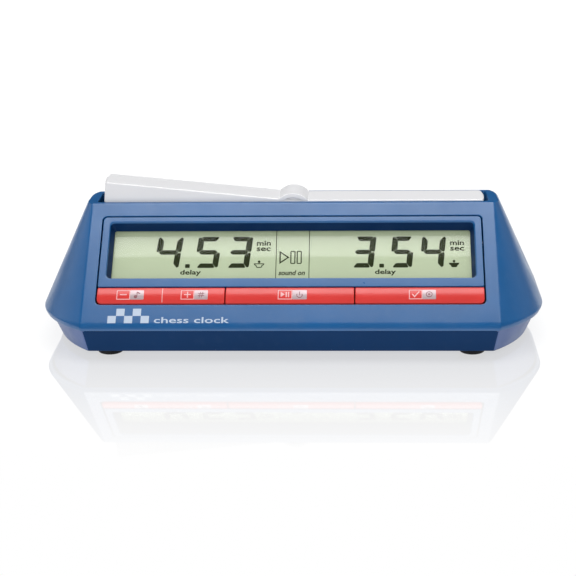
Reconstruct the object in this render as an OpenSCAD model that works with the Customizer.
// Digital chess clock with a rocking lever: wedge-shaped case, recessed display, three key caps.
// Frame: +X along the length, front towards -Y, +Z up, origin on the table under the middle of the case.

/* [Case] */
// Length of the case at its lower edge
case_len = 225; // [220:1:230]
// Depth of the case at its lower edge
case_dep = 120; // [118:1:122]
// Height of the deck above the table
deck_z = 58.1; // [57.5:0.1:59]
// Height of the lower edge of the sloping faces
edge_z = 14.6; // [14:0.1:15]
// Height of the parting line between the two case halves
split_z = 13; // [12.5:0.1:13.5]
// Half width of the sloping faces
face_hw = 90.6; // [90:0.1:91]
// Half depth of the deck
deck_hd = 12; // [11.8:0.1:12.5]
// Wall thickness of the case halves
wall = 2.4; // [2:0.1:2.6]

/* [Feet] */
// Height of the base above the table
base_z = 2; // [1.8:0.1:2.2]
// Distance of the feet from the middle, along the length
foot_x = 79.3; // [76:0.1:80]
// Distance of the feet from the middle, front to back
foot_y = 47.6; // [46:0.1:48]
// Radius of a foot
foot_r = 5.7; // [5:0.1:6]

/* [Display] */
// Half width of the panel set into the front face
panel_hw = 84.65; // [84.5:0.05:84.8]
// Panel's lower edge, measured up the face
panel_lo = 12.1; // [12:0.1:12.2]
// Panel's upper edge, measured up the face
panel_hi = 57.6; // [57.4:0.1:57.8]
// Half width of the window in the panel
window_hw = 81.3; // [81:0.1:81.4]
// Window's lower edge, measured up the face
window_lo = 25.35; // [25.2:0.05:25.5]
// Window's upper edge, measured up the face
window_hi = 54.6; // [54.4:0.1:54.7]
// Depth from the face to the display window
recess_d = 4.9; // [4.6:0.1:5]
// How far the recess walls lean in
recess_lean = 1.7; // [1.4:0.1:1.9]

/* [Keys] */
// Height of the key caps, measured up the face
key_h = 8; // [7.8:0.1:8.1]
// Distance of the two gaps between caps from the middle
key_split = 28.2; // [27:0.1:29]
// Gap between neighbouring caps
key_gap = 0.45; // [0.4:0.05:0.6]
// Height of the crown of a cap above its edges
key_crown = 0.9; // [0.6:0.1:1]
// Radius of the caps' outer corners
key_corner = 2; // [1:0.1:2.5]

/* [Lever] */
// Length of one arm from the pivot
arm_len = 86; // [85:0.1:86.2]
// Half depth of the lever
lever_hd = 9; // [8.5:0.1:9]
// Thickness of the lever at its skirts
lever_t = 9.5; // [9:0.1:10]
// Angle between the two arms' top faces, and the lever's swing
swing = 5.8; // [5:0.1:6]
// Height of the pressed arm's top above the deck
lever_rise = 0.5; // [0.3:0.1:0.6]
// Height of the pivot above the table
pivot_z = 47.5; // [47:0.1:48]
// Radius of the round hub across the middle
hub_r = 8.9; // [8:0.1:9]
// Radius of the pivot pin
pin_r = 1.5; // [1.2:0.1:1.6]

/* [Power] */
// Radius of a battery cell
cell_r = 7.2; // [7:0.05:7.25]
// Length of a battery cell without its nub
cell_len = 49.3; // [49:0.1:49.5]
// Height of the nub on a cell
nub_h = 1.1; // [1:0.1:1.2]
// Distance of the battery bay from the middle, front to back
bay_y = 24.5; // [24:0.1:25]
// Gap between the battery door and its frame
door_gap = 0.35; // [0.3:0.05:0.4]
// Radius of the power button
button_r = 5; // [4:0.1:6]

/* [Hidden] */
$fn = 64;
thin = 0.01;
blue = "#1e5a9e";
navy = "#173a66";

half_len = case_len / 2;
half_dep = case_dep / 2;
face_ang = atan2(deck_z - edge_z, half_dep - deck_hd);
end_flat = 17;
face_len = norm([deck_z - edge_z, half_dep - deck_hd]);

// Cavity of the upper shell
slope_wall = wall / sin(face_ang);
cav_top = deck_z - wall;
cav_top_y = deck_hd + (deck_z - cav_top) / tan(face_ang) - slope_wall;

// Trough that the lever rocks in
trough_hl = 88.3;
trough_hd = lever_hd + 0.4;
trough_z = deck_z - lever_t - 2;
trough_wall = 2;
well_hl = 9;
well_z = pivot_z - 6.5;
pin_half = trough_hd + trough_wall + 1;

// Lever
arm_top = deck_z + lever_rise;
arm_skin = 2;
hub_z = deck_z - 5.3;
magnet_h = 3;

// Layers behind the face, as depths below it
ledge_lo = 8;
ledge_hi = 60;
ledge_hw = 87;
ledge_d = 4;
panel_t = 2;
seam = 0.25;
lens_t = 1.2;
glass_d = recess_d + 0.05 + lens_t + 0.05;
glass_t = 2.55;
board_d = 10.8;
board_t = 1.6;
board_lo = 6;
board_hi = 53;
lcd_hw = 80.8;
lcd_lo = 25.6;
lcd_hi = 54.6;
stand_x = 84.9;
stand_y = [8.8, 48];

// Keys
key_lo = panel_lo + 0.35;
key_mid = key_lo + key_h / 2;
key_skirt = 4.8;
key_flange_t = 0.8;
trunnion_r = 0.8;
trunnion_d = 5.3;
rock_x = -(key_split + panel_hw) / 2;
switch_x = [rock_x - 14, rock_x + 14, 0, -rock_x];
switch_h = 3.3;

// Screw places
screw_xy = [[-98, -24], [98, -24], [98, 24], [-98, 24]];
screw_seat = 6;

// Battery bay
bay_hx = cell_len / 2 + 4.2;
bay_hy = 2 * cell_r + 0.9;
bay_wall = 1.5;
cell_z = 4.9 + cell_r;
plate_t = 0.6;
spring_len = 2 * (bay_hx - plate_t) - cell_len - nub_h;
door_t = 1.9;
door_hx = bay_hx;
door_y = [bay_y - bay_hy, bay_y + bay_hy];

// Button and sounder
button_xy = [52, -16];
buzzer_xy = [-52, -16];

// ---- Outlines -----------------------------------------------------------------------------

// Quarter of a case outline: a corner joined to a rounded end by one arc that is tangent to the end
function end_radius(c, ex, fy) = (pow(ex - c.x, 2) + pow(c.y - fy, 2)) / (2 * (ex - c.x));
function end_arc(c, ex, fy, n) =
    let (r = end_radius(c, ex, fy), a = asin((c.y - fy) / r))
    [for (i = [0 : n]) [ex - r + r * cos(a * i / n), fy + r * sin(a * i / n)]];

// Whole outline with a corner at c, an end at ex and a straight stretch of half length fy there
module outline(c, ex, fy, n = 10) {
    q = end_arc(c, ex, fy, n);
    m = len(q) - 1;
    polygon(concat(
        [for (i = [0 : m]) [q[i].x, q[i].y]],
        [for (i = [m : -1 : 0]) [-q[i].x, q[i].y]],
        [for (i = [0 : m]) [-q[i].x, -q[i].y]],
        [for (i = [m : -1 : 0]) [q[i].x, -q[i].y]]));
}

// One thin level of a case, for hulls
module level(z, c, ex, fy) {
    translate([0, 0, z]) linear_extrude(thin) outline(c, ex, fy);
}

module upper_outer() {
    hull() {
        level(split_z, [face_hw - 0.3, half_dep - 0.9], half_len - 0.9, end_flat);
        level(split_z + 0.9, [face_hw, half_dep], half_len, end_flat);
        level(edge_z, [face_hw, half_dep], half_len, end_flat);
        level(deck_z - thin, [face_hw - 0.15, deck_hd], face_hw + 2.4, 0.1);
    }
}

module upper_cavity() {
    hull() {
        level(split_z - 1, [face_hw - 0.6, half_dep - slope_wall], half_len - 2.9, end_flat - 1);
        level(edge_z, [face_hw - 0.6, half_dep - slope_wall], half_len - 2.9, end_flat - 1);
        level(cav_top, [face_hw - 1.8, cav_top_y], face_hw + 0.7, 0.1);
    }
}

module base_outer() {
    hull() {
        level(base_z, [face_hw - 2.2, half_dep - 6.8], half_len - 6, end_flat - 6);
        level(base_z + 1, [face_hw - 1.6, half_dep - 5.6], half_len - 4.8, end_flat - 6);
        level(split_z - thin, [face_hw - 0.7, half_dep - 1.6], half_len - 2.4, end_flat - 4);
    }
}

module base_cavity() {
    hull() {
        level(base_z + wall, [face_hw - 3.4, half_dep - 8.4], half_len - 7.8, end_flat - 6);
        level(split_z + 0.1, [face_hw - 2.4, half_dep - 5.6], half_len - 5.8, end_flat - 4);
    }
}

// ---- Helpers ------------------------------------------------------------------------------

// Places children on the front face: x along it, y up it from its lower edge, z out of it
module on_face() {
    translate([0, -half_dep, edge_z]) rotate([face_ang, 0, 0]) children();
}

// Box given by its two corners
module box(lo, hi) {
    translate(lo) cube(hi - lo);
}

// Plate on the face with rounded corners, between two depths
module face_plate(hw, lo, hi, d0, d1, r = 2) {
    translate([0, 0, -d1]) linear_extrude(d1 - d0) rounded_rect(hw, lo, hi, r);
}

module rounded_rect(hw, lo, hi, r) {
    square_hw = hw - r;
    translate([-hw, lo + r]) square([2 * hw, hi - lo - 2 * r]);
    translate([-square_hw, lo]) square([2 * square_hw, hi - lo]);
    for (x = [-square_hw, square_hw], y = [lo + r, hi - r]) translate([x, y]) circle(r);
}

// Solid that narrows with depth, for the recess around the display
module recess(grow, d0, d1) {
    hull() {
        recess_level(grow, d0);
        recess_level(grow, d1);
    }
}

module recess_level(grow, d) {
    lean = recess_lean * d / recess_d - grow;
    translate([0, 0, -d]) linear_extrude(thin)
        rounded_rect(window_hw - lean, window_lo + lean, window_hi - lean, 2, $fn = 32);
}

// Round bar along Y about the pivot line, at height z
module cross_bar(r, half, z) {
    translate([0, half, z]) rotate([90, 0, 0]) cylinder(r = r, h = 2 * half);
}

// Pan-head screw pointing up, its head's seat at z = 0
module screw(head_r, head_h, shank_r, shank_l) {
    difference() {
        union() {
            cylinder(r = shank_r, h = shank_l);
            translate([0, 0, -head_h]) cylinder(r = head_r, h = head_h);
        }
        for (a = [0, 90]) rotate([0, 0, a])
            box([-head_r * 0.6, -0.3, -head_h - 1], [head_r * 0.6, 0.3, -head_h * 0.4]);
    }
}

// Wire laid along a list of points, with a rounded knee at each
module wire(pts, r) {
    for (i = [0 : len(pts) - 2]) {
        d = pts[i + 1] - pts[i];
        translate(pts[i]) rotate([0, acos(d.z / norm(d)), atan2(d.y, d.x)]) cylinder(r = r, h = norm(d));
        translate(pts[i + 1]) sphere(r = r + 0.3);
    }
}

// ---- Case ---------------------------------------------------------------------------------

module trough_cut() {
    box([-trough_hl, -trough_hd, trough_z], [trough_hl, trough_hd, deck_z + 1]);
    box([-well_hl, -trough_hd, well_z], [well_hl, trough_hd, trough_z + 1]);
}

module trough_tub() {
    w = trough_wall;
    box([-trough_hl - w, -trough_hd - w, trough_z - w], [trough_hl + w, trough_hd + w, cav_top + 0.5]);
    box([-well_hl - w, -trough_hd - w, well_z - w], [well_hl + w, trough_hd + w, trough_z]);
    cross_bar(4, pin_half, pivot_z);
}

module shell_bosses() {
    for (p = screw_xy) translate([p.x, p.y, split_z]) cylinder(r = 4, h = 22);
}

module front_ledge() {
    on_face() face_plate(ledge_hw, ledge_lo, ledge_hi, wall - 0.3, ledge_d, 1);
}

// Pocket for the panel, with openings through its ledge for the display and the keys
module front_openings() {
    on_face() {
        face_plate(panel_hw + 0.3, panel_lo - 0.3, panel_hi + 0.3, -1, panel_t + 0.05, 2);
        face_plate(window_hw + 1, window_lo - 1.15, window_hi + 1.3, 0, ledge_d + 0.5, 1);
        face_plate(panel_hw, key_lo - 0.35, key_lo + key_h + 0.35, 0, ledge_d + 0.5, 0.5);
    }
}

module board_stands() {
    on_face() for (x = [-stand_x, stand_x], y = stand_y)
        translate([x, y, -board_d]) cylinder(r = 2, h = board_d - ledge_d + 0.3);
}

module key_lugs() {
    on_face() for (y = [10.7, 20.95])
        box([rock_x - 1.8, y, -6.6], [rock_x + 1.8, y + 0.95, -ledge_d + 0.2]);
}

module upper_shell() {
    color(blue) difference() {
        union() {
            difference() {
                upper_outer();
                upper_cavity();
            }
            intersection() {
                union() {
                    shell_bosses();
                    trough_tub();
                    front_ledge();
                    board_stands();
                    key_lugs();
                }
                upper_outer();
            }
        }
        trough_cut();
        cross_bar(pin_r, pin_half + 1, pivot_z);
        front_openings();
        for (p = screw_xy) translate([p.x, p.y, split_z - 1]) cylinder(r = 1.4, h = 10);
        on_face() for (x = [-stand_x, stand_x], y = stand_y)
            translate([x, y, -board_d - 1]) cylinder(r = 0.9, h = 6);
        on_face() translate([rock_x, 25, -trunnion_d]) rotate([90, 0, 0])
            cylinder(r = trunnion_r + 0.06, h = 20);
    }
}

module base_lip() {
    difference() {
        translate([0, 0, split_z - 0.1]) linear_extrude(edge_z - split_z)
            outline([face_hw - 0.9, half_dep - slope_wall - 0.25], half_len - 3.15, end_flat - 1);
        translate([0, 0, split_z - 1]) linear_extrude(4)
            outline([face_hw - 2, half_dep - slope_wall - 1.6], half_len - 4.5, end_flat - 1);
    }
}

module bay_walls() {
    w = bay_wall;
    difference() {
        box([-bay_hx - w, door_y[0] - w, base_z], [bay_hx + w, door_y[1] + w, split_z + 4]);
        box([-bay_hx, door_y[0], base_z - 1], [bay_hx, door_y[1], split_z + 5]);
    }
}

module base_shell() {
    color(navy) difference() {
        union() {
            difference() {
                base_outer();
                base_cavity();
            }
            base_lip();
            bay_walls();
            for (p = screw_xy) translate([p.x, p.y, base_z + 1]) cylinder(r = 4, h = split_z - base_z - 1);
            translate([button_xy.x, button_xy.y, base_z + 1]) cylinder(r = button_r + 2.6, h = 2.6);
            translate([buzzer_xy.x, buzzer_xy.y, base_z + 1]) cylinder(r = 10.5, h = 3);
            for (sx = [-1, 1], sy = [-1, 1]) translate([sx * foot_x, sy * foot_y, base_z + 1])
                cylinder(r = foot_r + 1.6, h = 2.6);
        }
        box([-bay_hx, door_y[0], base_z - 1], [bay_hx, door_y[1], base_z + wall + 1]);
        for (p = screw_xy) translate([p.x, p.y, base_z - 1]) {
            cylinder(r = 1.7, h = split_z);
            cylinder(r = 3.3, h = screw_seat - base_z + 1);
        }
        translate([button_xy.x, button_xy.y, base_z - 1]) cylinder(r = button_r + 0.35, h = 8);
        translate([button_xy.x, button_xy.y, base_z + 2.2]) cylinder(r = button_r + 1.5, h = 4);
        translate([buzzer_xy.x, buzzer_xy.y, base_z + wall]) cylinder(r = 9.1, h = 4);
        for (sx = [-1, 1], sy = [-1, 1]) translate([sx * foot_x, sy * foot_y, base_z - 1])
            cylinder(r = foot_r + 0.1, h = 2.2);
    }
}

// ---- Display ------------------------------------------------------------------------------

module bezel_panel() {
    lo = key_lo + key_h + 0.45;
    color(blue) on_face() difference() {
        union() {
            face_plate(panel_hw - seam, lo, panel_hi - seam, 0, panel_t, 1.5);
            recess(1.1, panel_t - 0.1, recess_d);
        }
        recess(0, -0.5, recess_d + 0.5);
    }
}

module display_window() {
    color([0.85, 0.9, 0.92, 0.4]) on_face()
        face_plate(lcd_hw, lcd_lo, lcd_hi, recess_d + 0.05, recess_d + 0.05 + lens_t, 0.5);
}

module lcd_glass() {
    color("#c5ceb4") on_face() face_plate(lcd_hw, lcd_lo, lcd_hi, glass_d, glass_d + glass_t, 0.3);
}

module lcd_frame() {
    color("#22252a") on_face() difference() {
        face_plate(82.2, 24.4, 55.7, recess_d + 0.05, glass_d + glass_t, 1);
        face_plate(lcd_hw + 0.1, lcd_lo - 0.1, lcd_hi + 0.1, 0, board_d, 0.3);
    }
}

module zebra_strips() {
    color("#3a3d42") on_face() for (y = [26, 50.5])
        box([-75, y, -board_d], [75, y + 2, -glass_d - glass_t]);
}

// ---- Electronics --------------------------------------------------------------------------

module main_board() {
    color("#1f6b3c") on_face() difference() {
        face_plate(87.2, board_lo, board_hi, board_d, board_d + board_t, 1);
        for (x = [-stand_x, stand_x], y = stand_y)
            translate([x, y, -board_d - board_t - 1]) cylinder(r = 1.2, h = board_t + 2);
    }
}

module controller_chip() {
    color("#1b1c1e") on_face() box([-7, 31, -board_d - board_t - 1.5], [7, 45, -board_d - board_t]);
}

module quartz_crystal() {
    color("#c8ccd0") on_face() translate([22, 30, -board_d - board_t - 1.5]) rotate([-90, 0, 0])
        cylinder(r = 1.5, h = 8);
}

module tact_switches() {
    color("#2b2d30") on_face() for (x = switch_x) translate([x, key_mid, -board_d]) {
        box([-3, -3, 0], [3, 3, switch_h]);
        cylinder(r = 1.7, h = switch_h + 0.9);
    }
}

module board_screws() {
    color("#b9bcc0") on_face() for (x = [-stand_x, stand_x], y = stand_y)
        translate([x, y, -board_d - board_t]) screw(1.9, 1.4, 0.9, 5);
}

module case_screws() {
    color("#b9bcc0") for (p = screw_xy) translate([p.x, p.y, screw_seat]) screw(2.8, 1.9, 1.4, 14);
}

module buzzer() {
    color("#202124") translate([buzzer_xy.x, buzzer_xy.y, base_z + wall]) difference() {
        cylinder(r = 9, h = 5);
        translate([0, 0, 4]) cylinder(r = 1.2, h = 2);
    }
}

module lever_pivot_pin() {
    color("#c8ccd0") cross_bar(pin_r, pin_half, pivot_z);
}

module lever_sensors() {
    color("#1f6b3c") for (s = [-1, 1]) {
        box([s * 60 - 9, -5, trough_z - trough_wall - 1], [s * 60 + 9, 5, trough_z - trough_wall]);
        box([s * 60 - 5, -1.2, trough_z - trough_wall - 3.2], [s * 60 + 5, 1.2, trough_z - trough_wall - 1]);
    }
}

module power_board() {
    color("#1f6b3c") translate([button_xy.x, button_xy.y, 0]) difference() {
        box([-9, -9, 15], [9, 9, 16.2]);
        for (x = [-7, 7]) translate([x, 7, 14]) cylinder(r = 0.9, h = 4);
    }
}

module power_switch() {
    color("#2b2d30") translate([button_xy.x, button_xy.y, 0]) {
        box([-4, -4, 10.5], [4, 4, 15]);
        translate([0, 0, 9.1]) cylinder(r = 1.7, h = 1.5);
    }
}

// ---- Power --------------------------------------------------------------------------------

// Cell along X with its nub towards +X or -X
module cell(y, dir) {
    translate([dir * (bay_hx - plate_t - nub_h - cell_len), y, cell_z]) rotate([0, dir * 90, 0]) {
        cylinder(r = cell_r, h = cell_len);
        cylinder(r = 2.7, h = cell_len + nub_h);
    }
}

module battery_cell_front() {
    color("#b08a3c") cell(bay_y - cell_r - 0.3, 1);
}

module battery_cell_rear() {
    color("#b08a3c") cell(bay_y + cell_r + 0.3, -1);
}

// Contact springs: rings of wire from the bay wall to each cell's flat end
module battery_springs() {
    count = 6;
    pitch = spring_len / count;
    color("#d0d3d6") for (s = [-1, 1])
        translate([-s * (bay_hx - plate_t), bay_y - s * (cell_r + 0.3), cell_z]) rotate([0, s * 90, 0])
            for (i = [0 : count - 1]) translate([0, 0, pitch * (i + 0.5)])
                rotate_extrude() translate([4, 0]) circle(pitch / 2 + (i % 2) * 0.03 - 0.01);
}

module battery_plates() {
    color("#d0d3d6") for (s = [-1, 1]) translate([s * (bay_hx - plate_t / 2), bay_y, cell_z])
        cube([plate_t, 24, 11], center = true);
}

wire_start = [bay_hx + bay_wall + 0.8, bay_y - 8, 14];

module battery_wire_red() {
    color("#b3201c") wire([wire_start, [46, 10, 20], [45, 0, 22], [45, -9, 17.4]], 0.7);
}

module switched_wire() {
    color("#b3201c") wire([[47, -12, 17.4], [44, -14, 24], [38, -21.9, 30]], 0.7);
}

module battery_wire_black() {
    color("#1a1a1a") wire([wire_start + [0, 14, 0], [44, 34, 22], [36, 12, 30], [27, -18.4, 34]], 0.7);
}

// ---- Feet ---------------------------------------------------------------------------------

module foot(sx, sy) {
    r = foot_r;
    color("#141416") translate([sx * foot_x, sy * foot_y, 0]) rotate_extrude() polygon(concat(
        [[0, 0], [r - 1, 0]],
        [for (a = [15 : 15 : 90]) [r - 1 + sin(a), 1 - cos(a)]],
        [[r, base_z + 1.15], [0, base_z + 1.15]]));
}

module foot_front_left() foot(-1, -1);
module foot_front_right() foot(1, -1);
module foot_rear_left() foot(-1, 1);
module foot_rear_right() foot(1, 1);

// ---- Moving pieces ------------------------------------------------------------------------

// Plan of one arm from the pivot line to its bowed end
module arm_plan(inset) {
    bow = 0.8;
    hd = lever_hd - inset;
    n = 8;
    polygon(concat([[0, -hd]],
        [for (i = [-n : n]) [arm_len - inset + bow * (1 - pow(i / n, 2)), hd * i / n]],
        [[0, hd]]));
}

// Right arm, pressed: a hollow beam whose top stands just over the deck
module arm() {
    difference() {
        translate([0, 0, arm_top - lever_t]) linear_extrude(lever_t) arm_plan(0);
        translate([0, 0, arm_top - lever_t - 1]) linear_extrude(lever_t + 1 - arm_skin) difference() {
            arm_plan(arm_skin);
            translate([-1, -lever_hd]) square([12, 2 * lever_hd]);
        }
    }
}

// Turns children about the pivot line
module turned(a) {
    translate([0, 0, pivot_z]) rotate([0, a, 0]) translate([0, 0, -pivot_z]) children();
}

module rocker_lever() {
    color("#e6e8ea") difference() {
        union() {
            arm();
            turned(swing) mirror([1, 0, 0]) arm();
            turned(swing / 2) cross_bar(hub_r, lever_hd + 0.1, hub_z);
            cross_bar(4.5, lever_hd - 0.5, pivot_z);
        }
        cross_bar(pin_r + 0.05, lever_hd + 1, pivot_z);
    }
}

module lever_magnets() {
    color("#9a9da1") {
        translate([60, 0, arm_top - arm_skin - magnet_h]) cylinder(r = 3, h = magnet_h);
        turned(swing) translate([-60, 0, arm_top - arm_skin - magnet_h]) cylinder(r = 3, h = magnet_h);
    }
}

// Section of a cap along the face: straight skirts under a shallow crown
function crown_points(n) =
    let (h = key_h / 2, r = (h * h + key_crown * key_crown) / (2 * key_crown), a = asin(h / r))
    [for (i = [-n : n]) [key_mid - r * sin(a * i / n), key_crown - 0.1 - r + r * cos(a * i / n)]];

module key_cap(x0, x1, round_left, round_right) {
    difference() {
        intersection() {
            translate([x0, 0, 0]) rotate([90, 0, 90]) linear_extrude(x1 - x0) polygon(concat(
                crown_points(8), [[key_lo, -key_skirt], [key_lo + key_h, -key_skirt]]));
            translate([0, 0, -10]) linear_extrude(20) cap_plan(x0, x1, round_left, round_right);
        }
        box([x0 + 1.2, key_lo + 1.2, -key_skirt - 1], [x1 - 1.2, key_lo + key_h - 1.2, -1.4]);
    }
    difference() {
        box([x0 + 0.1, key_lo - 0.9, -key_skirt - key_flange_t], [x1 - 0.1, key_lo + key_h + 0.9, -key_skirt + 0.1]);
        box([x0 + 1.2, key_lo + 1.2, -key_skirt - 1], [x1 - 1.2, key_lo + key_h - 1.2, -1.4]);
    }
}

module cap_plan(x0, x1, round_left, round_right) {
    r = key_corner;
    left = round_left ? r : 0;
    right = round_right ? r : 0;
    translate([x0, key_lo + r]) square([x1 - x0, key_h - r]);
    translate([x0 + left, key_lo]) square([x1 - x0 - left - right, key_h]);
    if (round_left) translate([x0 + r, key_lo + r]) circle(r);
    if (round_right) translate([x1 - r, key_lo + r]) circle(r);
}

// Post under a cap that presses its switch
module key_post(x) {
    translate([x, key_mid, -key_skirt - key_flange_t - 0.1]) cylinder(r = 1.8, h = key_skirt + key_flange_t - 1);
}

module key_minus_plus() {
    color("#e03a3c") on_face() {
        difference() {
            key_cap(-panel_hw + 0.35, -key_split - key_gap / 2, true, false);
            for (y = [key_lo - 1.6, key_lo + key_h + 0.1])
                box([rock_x - 2.4, y, -key_skirt - 1], [rock_x + 2.4, y + 1.5, -key_skirt + 0.5]);
        }
        key_post(switch_x[0]);
        key_post(switch_x[1]);
        box([rock_x - 1.6, key_lo + 0.3, -trunnion_d - 0.8], [rock_x + 1.6, key_lo + key_h - 0.3, -1.2]);
        translate([rock_x, 21.9, -trunnion_d]) rotate([90, 0, 0]) cylinder(r = trunnion_r, h = 11.2);
    }
}

module key_start_pause() {
    color("#e03a3c") on_face() {
        key_cap(-key_split + key_gap / 2, key_split - key_gap / 2, false, false);
        key_post(switch_x[2]);
    }
}

module key_confirm() {
    color("#e03a3c") on_face() {
        key_cap(key_split + key_gap / 2, panel_hw - 0.35, false, true);
        key_post(switch_x[3]);
    }
}

module power_button() {
    color("#c9352f") translate([button_xy.x, button_xy.y, 0]) {
        translate([0, 0, base_z + 0.3]) cylinder(r = button_r, h = 3);
        translate([0, 0, base_z + 2.5]) cylinder(r = button_r + 1.1, h = 1.2);
        translate([0, 0, base_z + 3.6]) cylinder(r = 1.8, h = 2.2);
    }
}

// Door in the base, with a round front edge, two hooks beside it and a finger latch at the rear
module battery_door() {
    g = door_gap;
    r = door_t / 2;
    color(navy) difference() {
        union() {
            box([-door_hx + g, door_y[0] + g + r, base_z], [door_hx - g, door_y[1] - g, base_z + door_t]);
            translate([-door_hx + g, door_y[0] + g + r, base_z + r]) rotate([0, 90, 0])
                cylinder(r = r, h = 2 * (door_hx - g));
            for (x = [-16, 16]) box([x - 3, door_y[0] + g, base_z + 1], [x + 3, door_y[0] + 2.2, base_z + 2.6]);
        }
        for (x = [-6, 6]) box([x - 0.4, door_y[1] - 8, base_z - 1], [x + 0.4, door_y[1] + 1, base_z + 4]);
        for (i = [0 : 4]) translate([-4.6, door_y[1] - 7 + i * 1.4, base_z - 1]) cube([9.2, 0.6, 1.4]);
    }
}

// ---- Drawing ------------------------------------------------------------------------------

upper_shell();
base_shell();
bezel_panel();
display_window();
lcd_glass();
lcd_frame();
zebra_strips();
main_board();
controller_chip();
quartz_crystal();
tact_switches();
board_screws();
case_screws();
buzzer();
lever_pivot_pin();
lever_sensors();
power_board();
power_switch();
battery_cell_front();
battery_cell_rear();
battery_springs();
battery_plates();
battery_wire_red();
battery_wire_black();
switched_wire();
foot_front_left();
foot_front_right();
foot_rear_left();
foot_rear_right();
rocker_lever();
lever_magnets();
key_minus_plus();
key_start_pause();
key_confirm();
power_button();
battery_door();
